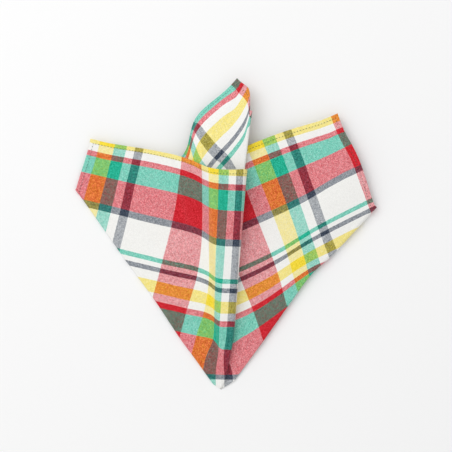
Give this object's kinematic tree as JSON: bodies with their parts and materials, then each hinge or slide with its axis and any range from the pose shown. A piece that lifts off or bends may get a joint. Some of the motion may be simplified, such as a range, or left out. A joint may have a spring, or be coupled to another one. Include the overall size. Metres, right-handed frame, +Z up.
{
  "type": "pocket square",
  "caption": "Madras plaid cotton pocket square with a narrow stitched hem, folded to a point with a raised centre pleat and one corner standing up behind.",
  "frame": {"origin": "middle of the folded outline, on the surface it rests on", "axes": "+Z up, +Y from the bottom tip towards the corner that stands up behind"},
  "size_m": [0.2414, 0.2477, 0.0298],
  "materials": {
    "cloth": "plain-woven yarn-dyed cotton, matt, red, white, yellow, green and navy plaid"
  },
  "bodies": {
    "root": {"pocket_square": "cloth"}
  },
  "joints": []
}
